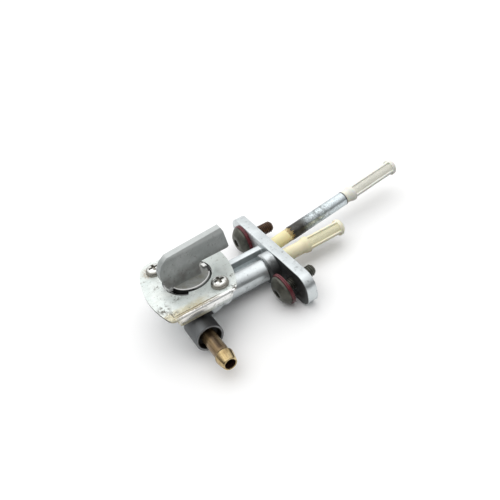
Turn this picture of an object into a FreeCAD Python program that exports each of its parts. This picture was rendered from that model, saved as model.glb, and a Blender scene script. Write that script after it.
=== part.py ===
import FreeCAD, Part
import math
import os
import Sketcher
from FreeCAD import Placement, Rotation, Vector

# Fuel tap, millimetres. Origin: centre of the flange's mounting face. +X points into the
# tank, the outlet points along -Y, and +Z is the lever's axis, out through the face plate.

DIMENSIONS = [
    # flange, bolted under the tank
    ("flange_thick", 5.5), ("flange_long", 69.2), ("flange_wide", 16.6), ("flange_round", 7.2),
    ("flange_edge", 0.5), ("bolt_spacing", 44.0), ("bolt_hole_dia", 7.0),
    # collar and neck, with the reserve duct inside
    ("collar_dia", 15.6), ("collar_long", 5.0), ("collar_chamfer", 0.8),
    ("neck_dia", 11.0), ("neck_side", -5.3), ("neck_up", -0.2), ("neck_bore_dia", 4.2),
    # second duct, for the main passage, beside the neck
    ("duct_near", 3.9), ("duct_wide", 5.2), ("duct_top", 4.6), ("duct_tall", 8.2),
    ("duct_round", 2.4), ("duct_bore_dia", 3.4), ("web_top", -0.6), ("web_thick", 2.0),
    # valve chamber under the face plate
    ("hub_x", -45.5), ("chamber_wall", 3.7), ("chamber_low", 1.9), ("rotor_play", 0.3),
    ("chamber_floor", 3.6), ("rim_wide", 2.3), ("rim_thick", 2.4), ("belly_dia", 23.0),
    ("belly_low", -6.2), ("belly_draft", 3.0), ("port_dia", 3.4), ("screw_boss_dia", 7.4),
    ("screw_boss_low", 4.2),
    # outlet boss and hose barb
    ("outlet_x", -52.4), ("outlet_up", 0.9), ("boss_dia", 13.3), ("mouth_y", 28.0),
    ("recess_dia", 11.0), ("recess_deep", 3.6), ("barb_seat_deep", 11.0), ("shank_dia", 7.0),
    ("barb_tip_y", 46.4), ("barb_dia", 9.2), ("barb_land", 1.4), ("shoulder_y", 35.2),
    ("shoulder_long", 0.9), ("tip_dia", 7.5), ("barb_bore_dia", 5.0), ("tip_chamfer", 0.3),
    # face plate
    ("plate_top", 13.9), ("plate_thick", 1.2), ("plate_shift", -1.3), ("plate_reach", 20.9),
    ("lip_play", 1.4), ("plate_bow", 52.0), ("plate_skew", 3.4), ("corner_far", 8.0),
    ("corner_near", 3.2), ("lip_drop", 3.9), ("lip_bend", 1.6), ("lip_far_half", 8.5),
    ("lip_near_half", 13.5), ("lip_near_shift", -1.6), ("lip_round", 2.0),
    ("hub_play", 0.85), ("lug_play", 0.5), ("slot_half_angle", 53.0), ("lug_angle", 190.0),
    # face screws
    ("screw_from_end", 11.0), ("screw_from_flat", 7.5), ("screw_head_dia", 8.4), ("screw_head_tall", 2.6),
    ("screw_core_dia", 3.9), ("screw_long", 7.6), ("cross_wide", 1.3), ("cross_long", 4.6),
    ("cross_deep", 1.6),
    # lever
    ("hub_dia", 19.7), ("hub_proud", 0.8), ("hub_chamfer", 0.6), ("rotor_step", 3.15),
    ("rotor_top", 11.2), ("rotor_gap", 0.3), ("lug_wide", 3.0), ("lug_reach", 12.2),
    ("lug_low", 12.9), ("groove_low", 7.25), ("groove_tall", 1.9), ("groove_deep", 1.4),
    ("blade_side", -0.65), ("blade_top_thick", 3.3), ("blade_base_thick", 5.2),
    ("blade_top_left", 30.6), ("blade_top_right", 32.5), ("blade_left", 13.2),
    ("blade_tail", 21.3), ("tail_under", 20.9), ("blade_root", 7.6), ("blade_foot", 12.0),
    ("blade_foot_up", 1.0), ("blade_shoulder", 8.4), ("blade_round", 2.2),
    ("nose_low", 6.0), ("nose_in", 2.2), ("nose_down", 2.4), ("nose_top_in", 5.4),
    ("heel_up", 4.2), ("tail_top_in", 1.6), ("tail_in", 0.7), ("tail_down", 2.3),
    ("toe_up", 0.6), ("toe_in", 1.0),
    ("flow_groove_in", 10.4), ("flow_groove_out", 17.2), ("flow_groove_deep", 1.6),
    # rubber and spring pieces
    ("packing_thick", 2.8), ("packing_gap", 0.4), ("seal_dia", 1.6), ("seal_gap", 0.05), ("washer_play", 0.55),
    ("washer_inset", 0.2), ("washer_metal", 0.3), ("washer_wave", 0.5), ("washer_gap", 0.1),
    ("gasket_mid_dia", 12.6), ("gasket_wide", 1.8), ("gasket_deep", 1.6), ("gasket_gap", 0.15),
    # flange bolts, M6, and their washers
    ("bolt_dia", 5.9), ("bolt_long", 18.0), ("bolt_head_dia", 14.5), ("bolt_head_tall", 3.6),
    ("bolt_head_flat_dia", 7.4), ("bolt_head_edge", 0.9), ("hex_across", 4.0), ("hex_deep", 2.2),
    ("bolt_core_dia", 5.4), ("bolt_chamfer", 0.7), ("disc_dia", 15.8), ("disc_hole_dia", 6.4),
    ("disc_thick", 0.8), ("bolt_out", 4.8),
    # standpipes and strainers
    ("pipe_dia", 4.6), ("pipe_bore_dia", 3.2), ("pipe_sunk", 3.0), ("pipe_long", 9.0),
    ("main_side", 6.5), ("main_up", 0.6), ("main_lean", 5.7), ("reserve_side", -4.4),
    ("reserve_up", 0.8), ("tube_dia", 6.8), ("tube_bore_dia", 4.7), ("tube_off", 0.4),
    ("main_cage_from", 52.0), ("main_end", 85.0), ("reserve_cage_from", 12.0),
    ("reserve_end", 36.5), ("cage_dia", 8.4), ("cage_wall", 1.2), ("skin_wall", 0.4),
    ("cage_ring", 1.6), ("rib_wide", 1.2), ("rib_sunk", 0.05), ("cage_cone", 2.0),
    ("cage_bevel", 1.2), ("cone_inside", 0.4), ("sleeve_from", 13.0), ("sleeve_to", 49.5),
    ("sleeve_dia", 7.3), ("sleeve_gap", 0.05),
]
WAVES = 3
SPLINE_POINTS = 24


class Size:
    """A size that carries its value and the sheet formula that gives it."""

    def __init__(self, value, formula):
        self.value = float(value)
        self.formula = formula

    def __add__(self, other):
        other = as_size(other)
        return Size(self.value + other.value, f"({self.formula} + {other.formula})")

    def __sub__(self, other):
        other = as_size(other)
        return Size(self.value - other.value, f"({self.formula} - {other.formula})")

    def __rsub__(self, other):
        return as_size(other) - self

    def __mul__(self, factor):
        return Size(self.value * factor, f"({self.formula} * {factor})")

    def __truediv__(self, factor):
        return Size(self.value / factor, f"({self.formula} / {factor})")

    def __neg__(self):
        return Size(-self.value, f"(-1 * {self.formula})")


def as_size(number):
    if isinstance(number, Size):
        return number
    return Size(number, str(number))


doc = FreeCAD.newDocument("fuel_tap")
sheet = doc.addObject("Spreadsheet::Sheet", "dims")
size = {}
for row, (alias, number) in enumerate(DIMENSIONS, start=1):
    sheet.set(f"A{row}", alias)
    sheet.set(f"B{row}", str(number))
    sheet.setAlias(f"B{row}", alias)
    size[alias] = Size(number, f"dims.{alias}")
doc.recompute()

nodes = []

PLANES = {"top": "XY_Plane", "side": "XZ_Plane", "front": "YZ_Plane"}
ALONG = {
    "x": Rotation(Vector(0, 1, 0), 90),
    "-x": Rotation(Vector(0, 1, 0), -90),
    "-y": Rotation(Vector(1, 0, 0), 90),
    "z": Rotation(),
}


def new_body(label):
    """A body whose label names its file."""
    body = doc.addObject("PartDesign::Body", label)
    body.Label = label
    nodes.append(body)
    return body


def bind(item, prop, amount):
    item.setExpression(prop, as_size(amount).formula)


def place(item, x, y, z, direction="z", stem="Placement"):
    """Put an object at sizes x, y, z with its own Z axis along a direction."""
    here = Vector(as_size(x).value, as_size(y).value, as_size(z).value)
    setattr(item, stem, Placement(here, ALONG[direction]))
    for axis, amount in zip("xyz", (x, y, z)):
        bind(item, f"{stem}.Base.{axis}", amount)


def new_sketch(body, name, plane, across=0, up=0, out=0):
    """A sketch on one of the body's planes, its origin moved by three sizes."""
    sketch = body.newObject("Sketcher::SketchObject", name)
    support = [f for f in body.Origin.OriginFeatures if f.Role == PLANES[plane]][0]
    sketch.AttachmentSupport = [(support, "")]
    sketch.MapMode = "FlatFace"
    for axis, amount in zip("xyz", (across, up, out)):
        bind(sketch, f"AttachmentOffset.Base.{axis}", amount)
    return sketch


def constrain(sketch, amount, kind, *where):
    """A driving constraint whose value comes from the sheet."""
    amount = as_size(amount)
    index = sketch.addConstraint(Sketcher.Constraint(kind, *where, amount.value))
    sketch.setExpression(f"Constraints[{index}]", amount.formula)


def pin(sketch, edge, end, x, y):
    """Hold one end of an edge at sizes x, y from the sketch's origin."""
    for kind, axis, amount in (("DistanceX", -2, x), ("DistanceY", -1, y)):
        if isinstance(amount, Size):
            constrain(sketch, amount, kind, -1, 1, edge, end)
        elif amount == 0:
            sketch.addConstraint(Sketcher.Constraint("PointOnObject", edge, end, axis))
        else:
            sketch.addConstraint(Sketcher.Constraint(kind, -1, 1, edge, end, amount))


def polygon(sketch, corners):
    """A closed outline of straight edges through corners given as sizes."""
    points = [Vector(as_size(x).value, as_size(y).value, 0) for x, y in corners]
    count = len(points)
    first = sketch.GeometryCount
    for k in range(count):
        sketch.addGeometry(Part.LineSegment(points[k], points[(k + 1) % count]), False)
    for k in range(count):
        following = first + (k + 1) % count
        sketch.addConstraint(Sketcher.Constraint("Coincident", first + k, 2, following, 1))
    for k, (x, y) in enumerate(corners):
        pin(sketch, first + k, 1, x, y)


def circle(sketch, diameter, x=0, y=0):
    """A circle of a size, centred at sizes x, y."""
    centre = Vector(as_size(x).value, as_size(y).value, 0)
    ring = Part.Circle(centre, Vector(0, 0, 1), diameter.value / 2)
    index = sketch.addGeometry(ring, False)
    constrain(sketch, diameter, "Diameter", index)
    pin(sketch, index, 3, x, y)


def pad(body, name, sketch, length, backwards=False, both=False):
    feature = body.newObject("PartDesign::Pad", name)
    feature.Profile = sketch
    feature.Midplane = both
    feature.Reversed = backwards
    bind(feature, "Length", length)
    return feature


def pocket(body, name, sketch, length, backwards=False, both=False):
    feature = body.newObject("PartDesign::Pocket", name)
    feature.Profile = sketch
    feature.Midplane = both
    feature.Reversed = backwards
    bind(feature, "Length", length)
    return feature


def revolve(body, name, sketch):
    """A full turn about the sketch's own first axis."""
    feature = body.newObject("PartDesign::Revolution", name)
    feature.Profile = sketch
    feature.ReferenceAxis = (sketch, ["H_Axis"])
    feature.Angle = 360
    return feature


def cylinder(body, name, diameter, length, x, y, z, direction="z", cut=False):
    """A round solid or hole of a body, from a point along a direction."""
    kind = "PartDesign::SubtractiveCylinder" if cut else "PartDesign::AdditiveCylinder"
    feature = body.newObject(kind, name)
    bind(feature, "Radius", diameter / 2)
    bind(feature, "Height", length)
    place(feature, x, y, z, direction)
    return feature


def block(body, name, sizes, corner, cut=False):
    """A square solid or cut of a body, with sizes and lowest corner."""
    kind = "PartDesign::SubtractiveBox" if cut else "PartDesign::AdditiveBox"
    feature = body.newObject(kind, name)
    for prop, amount in zip(("Length", "Width", "Height"), sizes):
        bind(feature, prop, amount)
    place(feature, *corner)
    return feature


def edges_where(feature, test):
    """Names of the edges of a feature's shape whose middle passes a test."""
    found = []
    for k, edge in enumerate(feature.Shape.Edges, start=1):
        middle = edge.valueAt((edge.FirstParameter + edge.LastParameter) / 2)
        if test(edge, middle):
            found.append(f"Edge{k}")
    return found


def finish_edges(body, name, kind, base, test, amount):
    """A fillet or chamfer on the edges of the last feature that pass a test."""
    doc.recompute()
    feature = body.newObject(f"PartDesign::{kind}", name)
    feature.Base = (base, edges_where(base, test))
    bind(feature, "Radius" if kind == "Fillet" else "Size", amount)
    return feature


def near(a, b):
    return abs(a - b) < 0.01


def value(name):
    return size[name].value


# Sizes that follow from the lever's hub, outwards to the plate
derived = (
    ("rotor_dia", size["hub_dia"] + size["rotor_step"] * 2),
    ("hole_dia", size["hub_dia"] + size["hub_play"] * 2),
    ("slot_dia", (size["lug_reach"] + size["lug_play"]) * 2),
    ("washer_in_dia", size["hub_dia"] + size["washer_play"] * 2),
)
size.update(derived)
size["washer_out_dia"] = size["rotor_dia"] - size["washer_inset"] * 2
size["chamber_bore_dia"] = size["rotor_dia"] + size["rotor_play"] * 2
size["chamber_dia"] = size["chamber_bore_dia"] + size["chamber_wall"] * 2
size["rim_dia"] = size["chamber_dia"] + size["rim_wide"] * 2
size["plate_half"] = size["rim_dia"] / 2 + size["lip_play"] + size["plate_thick"]
size["screw_x"] = size["plate_reach"] - size["screw_from_end"]
size["screw_y"] = size["plate_half"] - size["screw_from_flat"]

# Places that several pieces share
plate_under = size["plate_top"] - size["plate_thick"]
hub_top = size["plate_top"] + size["hub_proud"]
rotor_low = size["chamber_floor"] + size["packing_thick"] + size["rotor_gap"]
plate_x = size["hub_x"] + size["plate_shift"]
boss_start = size["belly_dia"] / 2 - 3.5
gasket_y = (size["main_side"] + size["reserve_side"]) / 2
gasket_half = (size["main_side"] - size["reserve_side"]) / 2
port_reach = size["hub_x"] - size["outlet_x"]


def port_x(side):
    """X of a port on the port circle whose side offset is a size."""
    reach = math.sqrt(port_reach.value ** 2 - side.value ** 2)
    formula = f"sqrt({port_reach.formula} ^ 2 - {side.formula} ^ 2)"
    return size["hub_x"] + Size(reach, formula)


PORTS = {
    "OutletPort": (size["outlet_x"], as_size(0)),
    "ReservePort": (port_x(size["neck_side"]), size["neck_side"]),
    "MainPort": (port_x(size["main_side"]), size["main_side"]),
}
SCREW_PLACES = {
    "front": (plate_x + size["screw_x"], -size["screw_y"]),
    "rear": (plate_x - size["screw_x"], size["screw_y"]),
}


def valve_body():
    """The die casting: flange, collar, neck, duct, chamber and outlet boss."""
    body = new_body("valve_body")
    outline = new_sketch(body, "FlangeOutline", "front")
    half_long, half_wide = size["flange_long"] / 2, size["flange_wide"] / 2
    polygon(outline, [(-half_long, -half_wide), (half_long, -half_wide),
                      (half_long, half_wide), (-half_long, half_wide)])
    flange = pad(body, "Flange", outline, size["flange_thick"], backwards=True)
    corners = finish_edges(
        body, "FlangeEnds", "Fillet", flange,
        lambda e, m: near(abs(m.y), half_long.value) and near(abs(m.z), half_wide.value),
        size["flange_round"])
    finish_edges(
        body, "FlangeEdge", "Fillet", corners,
        lambda e, m: near(m.x, -value("flange_thick")), size["flange_edge"])

    # Collar, neck and the lower web
    front = -size["flange_thick"]
    neck_end = size["hub_x"] + size["chamber_bore_dia"] / 4
    cylinder(body, "Collar", size["collar_dia"], size["collar_long"] + 1,
             front + 1, size["neck_side"], size["neck_up"], "-x")
    doc.recompute()
    collar_front = -(value("flange_thick") + value("collar_long"))
    finish_edges(
        body, "CollarChamfer", "Chamfer", body.Tip,
        lambda e, m: near(m.x, collar_front) and e.Curve.TypeId == "Part::GeomCircle",
        size["collar_chamfer"])
    cylinder(body, "Neck", size["neck_dia"], front - neck_end, front,
             size["neck_side"], size["neck_up"], "-x")
    web = block(body, "Web", (front - neck_end, size["duct_near"] - size["neck_side"] + 1,
                              size["web_thick"]),
                (neck_end, size["neck_side"], size["web_top"] - size["web_thick"]))

    # Main duct, its far top corner rounded
    duct = block(body, "Duct", (front - neck_end, size["duct_wide"], size["duct_tall"]),
                 (neck_end, size["duct_near"], size["duct_top"] - size["duct_tall"]))
    far = value("duct_near") + value("duct_wide")
    finish_edges(
        body, "DuctRound", "Fillet", duct,
        lambda e, m: near(m.y, far) and near(m.z, value("duct_top")), size["duct_round"])

    # Chamber with its rim, belly and screw bosses
    rim_low = plate_under - size["rim_thick"]
    cylinder(body, "Chamber", size["chamber_dia"], plate_under - size["chamber_low"],
             size["hub_x"], 0, size["chamber_low"])
    cylinder(body, "Rim", size["rim_dia"], size["rim_thick"], size["hub_x"], 0, rim_low)
    belly, draft = size["belly_dia"] / 2, size["belly_draft"]
    turned(body, "Belly", "z", (size["hub_x"], 0, size["belly_low"]), [
        (0, 0), (0, belly - draft), (draft, belly),
        (size["chamber_low"] - size["belly_low"] + 1, belly),
        (size["chamber_low"] - size["belly_low"] + 1, 0)])
    for name, (x, y) in SCREW_PLACES.items():
        cylinder(body, f"ScrewBoss_{name}", size["screw_boss_dia"],
                 plate_under - size["screw_boss_low"], x, y, size["screw_boss_low"])
    cylinder(body, "OutletBoss", size["boss_dia"], size["mouth_y"] - boss_start,
             size["outlet_x"], -boss_start, size["outlet_up"], "-y")

    # Hollows: chamber, ports, ducts, pipe seats, outlet and bolt holes
    cylinder(body, "ChamberBore", size["chamber_bore_dia"], plate_under - size["chamber_floor"] + 1,
             size["hub_x"], 0, size["chamber_floor"], cut=True)
    depth = {"OutletPort": size["outlet_up"], "ReservePort": size["neck_up"],
             "MainPort": size["main_up"]}
    for name, (x, y) in PORTS.items():
        cylinder(body, name, size["port_dia"], size["chamber_floor"] - depth[name] + 1,
                 x, y, depth[name], cut=True)
    reserve_x, main_x = PORTS["ReservePort"][0], PORTS["MainPort"][0]
    cylinder(body, "ReserveDuct", size["neck_bore_dia"], -reserve_x - size["pipe_sunk"] + 0.5,
             0 - size["pipe_sunk"] + 0.5, size["neck_side"], size["neck_up"], "-x", cut=True)
    cylinder(body, "MainDuct", size["duct_bore_dia"], -main_x - size["pipe_sunk"] + 0.5,
             0 - size["pipe_sunk"] + 0.5, size["main_side"], size["main_up"], "-x", cut=True)
    cylinder(body, "ReserveSeat", size["pipe_dia"], size["pipe_sunk"] + 1,
             1 - as_size(0), size["reserve_side"], size["reserve_up"], "-x", cut=True)
    seat = cylinder(body, "MainSeat", size["pipe_dia"], size["pipe_sunk"] + 1,
                    -size["pipe_sunk"], size["main_side"], size["main_up"], "x", cut=True)
    lean_like_main(seat, -value("pipe_sunk"))
    cylinder(body, "OutletRecess", size["recess_dia"], size["recess_deep"] + 1,
             size["outlet_x"], -(size["mouth_y"] - size["recess_deep"]), size["outlet_up"],
             "-y", cut=True)
    seat_y = size["mouth_y"] - size["recess_deep"] - size["barb_seat_deep"]
    cylinder(body, "BarbSeat", size["shank_dia"], size["barb_seat_deep"] + 1,
             size["outlet_x"], -seat_y, size["outlet_up"], "-y", cut=True)
    cylinder(body, "OutletDuct", size["barb_bore_dia"], seat_y + 1,
             size["outlet_x"], 0, size["outlet_up"], "-y", cut=True)
    for name, (x, y) in SCREW_PLACES.items():
        cylinder(body, f"ScrewHole_{name}", size["screw_core_dia"],
                 size["screw_long"] - size["plate_thick"] + 1,
                 x, y, plate_under - (size["screw_long"] - size["plate_thick"]), cut=True)
    for name, way in (("upper", 1), ("lower", -1)):
        cylinder(body, f"BoltHole_{name}", size["bolt_hole_dia"], size["flange_thick"] + 2,
                 front - 1, size["bolt_spacing"] * (way / 2), 0, "x", cut=True)

    # Groove for the flange's rubber ring
    ring = new_sketch(body, "GasketGroove", "front", across=gasket_y)
    racetrack(ring, gasket_half, size["gasket_mid_dia"] + size["gasket_wide"]
              + size["gasket_gap"] * 2)
    racetrack(ring, gasket_half, size["gasket_mid_dia"] - size["gasket_wide"]
              - size["gasket_gap"] * 2)
    pocket(body, "GasketPocket", ring, size["gasket_deep"])
    return body


def racetrack(sketch, half, diameter):
    """Two straight sides and two half circles, longer along the sketch's first axis."""
    radius, reach = diameter.value / 2, half.value
    first = sketch.GeometryCount
    up = Vector(0, 0, 1)
    right = Part.Circle(Vector(reach, 0, 0), up, radius)
    left = Part.Circle(Vector(-reach, 0, 0), up, radius)
    quarter = math.pi / 2
    sketch.addGeometry(Part.ArcOfCircle(right, -quarter, quarter), False)
    sketch.addGeometry(Part.LineSegment(Vector(reach, radius, 0), Vector(-reach, radius, 0)), False)
    sketch.addGeometry(Part.ArcOfCircle(left, quarter, 3 * quarter), False)
    sketch.addGeometry(Part.LineSegment(Vector(-reach, -radius, 0), Vector(reach, -radius, 0)),
                       False)
    for k in range(4):
        tail, head = first + k, first + (k + 1) % 4
        sketch.addConstraint(Sketcher.Constraint("Tangent", tail, 2, head, 1))
    constrain(sketch, diameter / 2, "Radius", first)
    pin(sketch, first, 3, half, 0)
    pin(sketch, first + 2, 3, -half, 0)


def lean_like_main(item, along):
    """Turn an object that starts along the main pipe's axis as far as the pipe leans."""
    turned = MAIN_TILT.multiply(ALONG["x"])
    start = Vector(0, value("main_side"), value("main_up"))
    item.Placement = Placement(start + MAIN_TILT.multVec(Vector(along, 0, 0)), turned)
    for axis in "xyz":
        item.setExpression(f"Placement.Base.{axis}", None)


MAIN_TILT = Rotation(Vector(0, -1, 1), value("main_lean"))


def face_plate():
    """Stamped plate: bowed ends, folded lips, hub hole with a stop slot, screw holes."""
    body = new_body("face_plate")
    outline = new_sketch(body, "PlateOutline", "top", across=plate_x,
                         out=plate_under)
    half = value("plate_half")
    reach, bow, skew = value("plate_reach"), value("plate_bow"), value("plate_skew")

    def end_x(side, y):
        """X of a bowed end at a height, side -1 or 1."""
        centre = side * (reach - bow)
        return centre + side * math.sqrt(bow ** 2 - (y - side * skew) ** 2)

    corners = [Vector(end_x(-1, -half), -half, 0), Vector(end_x(1, -half), -half, 0),
               Vector(end_x(1, half), half, 0), Vector(end_x(-1, half), half, 0)]
    right = Part.Arc(corners[1], Vector(reach, skew, 0), corners[2])
    left = Part.Arc(corners[3], Vector(-reach, -skew, 0), corners[0])
    outline.addGeometry(Part.LineSegment(corners[0], corners[1]), False)
    outline.addGeometry(right, False)
    outline.addGeometry(Part.LineSegment(corners[2], corners[3]), False)
    outline.addGeometry(left, False)
    for k, following in ((0, 1), (1, 2), (2, 3), (3, 0)):
        outline.addConstraint(Sketcher.Constraint("Coincident", k, 2, following, 1))
    for k in (0, 2):
        outline.addConstraint(Sketcher.Constraint("Horizontal", k))
    for k, side in ((1, 1), (3, -1)):
        constrain(outline, size["plate_bow"], "Radius", k)
        centre = (size["plate_reach"] - size["plate_bow"]) * side
        pin(outline, k, 3, centre, size["plate_skew"] * side)
    constrain(outline, -size["plate_half"], "DistanceY", -1, 1, 0, 1)
    constrain(outline, size["plate_half"], "DistanceY", -1, 1, 2, 1)
    sheet_pad = pad(body, "Sheet", outline, size["plate_thick"])
    far = finish_edges(
        body, "FarCorners", "Fillet", sheet_pad,
        lambda e, m: near(m.y, half) and near(m.z, value("plate_top") - value("plate_thick") / 2),
        size["corner_far"])
    finish_edges(
        body, "NearCorners", "Fillet", far,
        lambda e, m: near(m.y, -half) and near(m.z, value("plate_top") - value("plate_thick") / 2),
        size["corner_near"])

    # Lips folded down along both flats
    lip_rows = (("NearLip", -1, size["lip_near_half"], size["lip_near_shift"]),
                ("FarLip", 1, size["lip_far_half"], as_size(0)))
    for name, side, half_long, shift in lip_rows:
        bend, start_x = size["lip_bend"], plate_x + shift - half_long
        inner = size["plate_half"] - size["plate_thick"]
        fold_y = size["plate_half"] - bend
        block(body, f"{name}Relief", (half_long * 2, bend, bend + 1),
              (start_x, fold_y if side > 0 else -size["plate_half"], size["plate_top"] - bend),
              cut=True)
        fold = cylinder(body, f"{name}Bend", bend * 2, half_long * 2, start_x,
                        fold_y * side, size["plate_top"] - bend, "x")
        fold.Angle = 90
        quarter = Rotation(Vector(0, 0, 1), 90 if side > 0 else 180)
        fold.Placement = Placement(fold.Placement.Base, ALONG["x"].multiply(quarter))
        lip = block(body, name, (half_long * 2, size["plate_thick"], size["lip_drop"] - bend),
                    (start_x, inner if side > 0 else -size["plate_half"],
                     size["plate_top"] - size["lip_drop"]))
        low = value("plate_top") - value("lip_drop")
        finish_edges(
            body, f"{name}Corners", "Fillet", lip,
            lambda e, m: near(m.z, low) and near(abs(m.y), half - value("plate_thick") / 2),
            size["lip_round"])

    # Hub hole, stop slot and screw holes
    above = size["lip_drop"] + 2
    cylinder(body, "HubHole", size["hole_dia"], above, size["hub_x"], 0,
             plate_under - 1, cut=True)
    slot = new_sketch(body, "StopSlot", "top", across=size["hub_x"], out=plate_under - 1)
    sector(slot, size["slot_dia"] / 2, value("lug_angle"), value("slot_half_angle"))
    pocket(body, "StopPocket", slot, above, backwards=True)
    for name, (x, y) in SCREW_PLACES.items():
        cylinder(body, f"PlateHole_{name}", size["screw_core_dia"] + 0.5, above, x, y,
                 plate_under - 1, cut=True)
    return body


def sector(sketch, radius, middle_angle, half_angle):
    """A pie slice about the sketch's origin, held by its radius and two end angles."""
    ends = [math.radians(middle_angle + side * half_angle) for side in (-1, 1)]
    ring = Part.Circle(Vector(0, 0, 0), Vector(0, 0, 1), radius.value)
    points = [Vector(radius.value * math.cos(a), radius.value * math.sin(a), 0) for a in ends]
    sketch.addGeometry(Part.ArcOfCircle(ring, ends[0], ends[1]), False)
    sketch.addGeometry(Part.LineSegment(points[1], Vector(0, 0, 0)), False)
    sketch.addGeometry(Part.LineSegment(Vector(0, 0, 0), points[0]), False)
    sketch.addConstraint(Sketcher.Constraint("Coincident", 0, 2, 1, 1))
    sketch.addConstraint(Sketcher.Constraint("Coincident", 1, 2, 2, 1))
    sketch.addConstraint(Sketcher.Constraint("Coincident", 2, 2, 0, 1))
    sketch.addConstraint(Sketcher.Constraint("Coincident", 0, 3, -1, 1))
    sketch.addConstraint(Sketcher.Constraint("Coincident", 1, 2, -1, 1))
    constrain(sketch, radius, "Radius", 0)
    for edge, end, a in ((1, 1, ends[1]), (2, 2, ends[0])):
        sketch.addConstraint(Sketcher.Constraint("DistanceX", -1, 1, edge, end,
                                                 radius.value * math.cos(a)))


def turned(body, name, direction, at, corners):
    """A piece turned about x, -y or z: corners are (along, radius) sizes from a start."""
    x, y, z = at
    if direction == "-y":
        sketch = new_sketch(body, name, "front", across=y, up=z, out=x)
        polygon(sketch, [(-as_size(along), radius) for along, radius in corners])
    elif direction == "x":
        sketch = new_sketch(body, name, "side", across=x, up=z, out=-as_size(y))
        polygon(sketch, corners)
    else:
        sketch = new_sketch(body, name, "side", across=x, up=z, out=-as_size(y))
        polygon(sketch, [(radius, along) for along, radius in corners])
    feature = revolve(body, f"{name}Turned", sketch)
    if direction == "z":
        feature.ReferenceAxis = (sketch, ["V_Axis"])
    return feature


def face_screw(name):
    """Pan-head screw with a cross recess, seated on the plate."""
    body = new_body(f"face_screw_{name}")
    x, y = SCREW_PLACES[name]
    head, core, tall = size["screw_head_dia"] / 2, size["screw_core_dia"] / 2, size["screw_head_tall"]
    under = -size["screw_long"]
    turned(body, "Profile", "z", (x, y, size["plate_top"]), [
        (under, 0), (tall, 0), (tall, head * 0.4), (tall * 0.88, head * 0.68),
        (tall * 0.58, head * 0.92), (tall * 0.2, head), (0, head), (0, core),
        (under + 0.6, core), (under, core - 0.6)])
    low = size["plate_top"] + tall - size["cross_deep"]
    half, wide = size["cross_long"] / 2, size["cross_wide"] / 2
    block(body, "CrossLong", (half * 2, wide * 2, size["cross_deep"] + 1),
          (x - half, y - wide, low), cut=True)
    block(body, "CrossWide", (wide * 2, half * 2, size["cross_deep"] + 1),
          (x - wide, y - half, low), cut=True)


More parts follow.
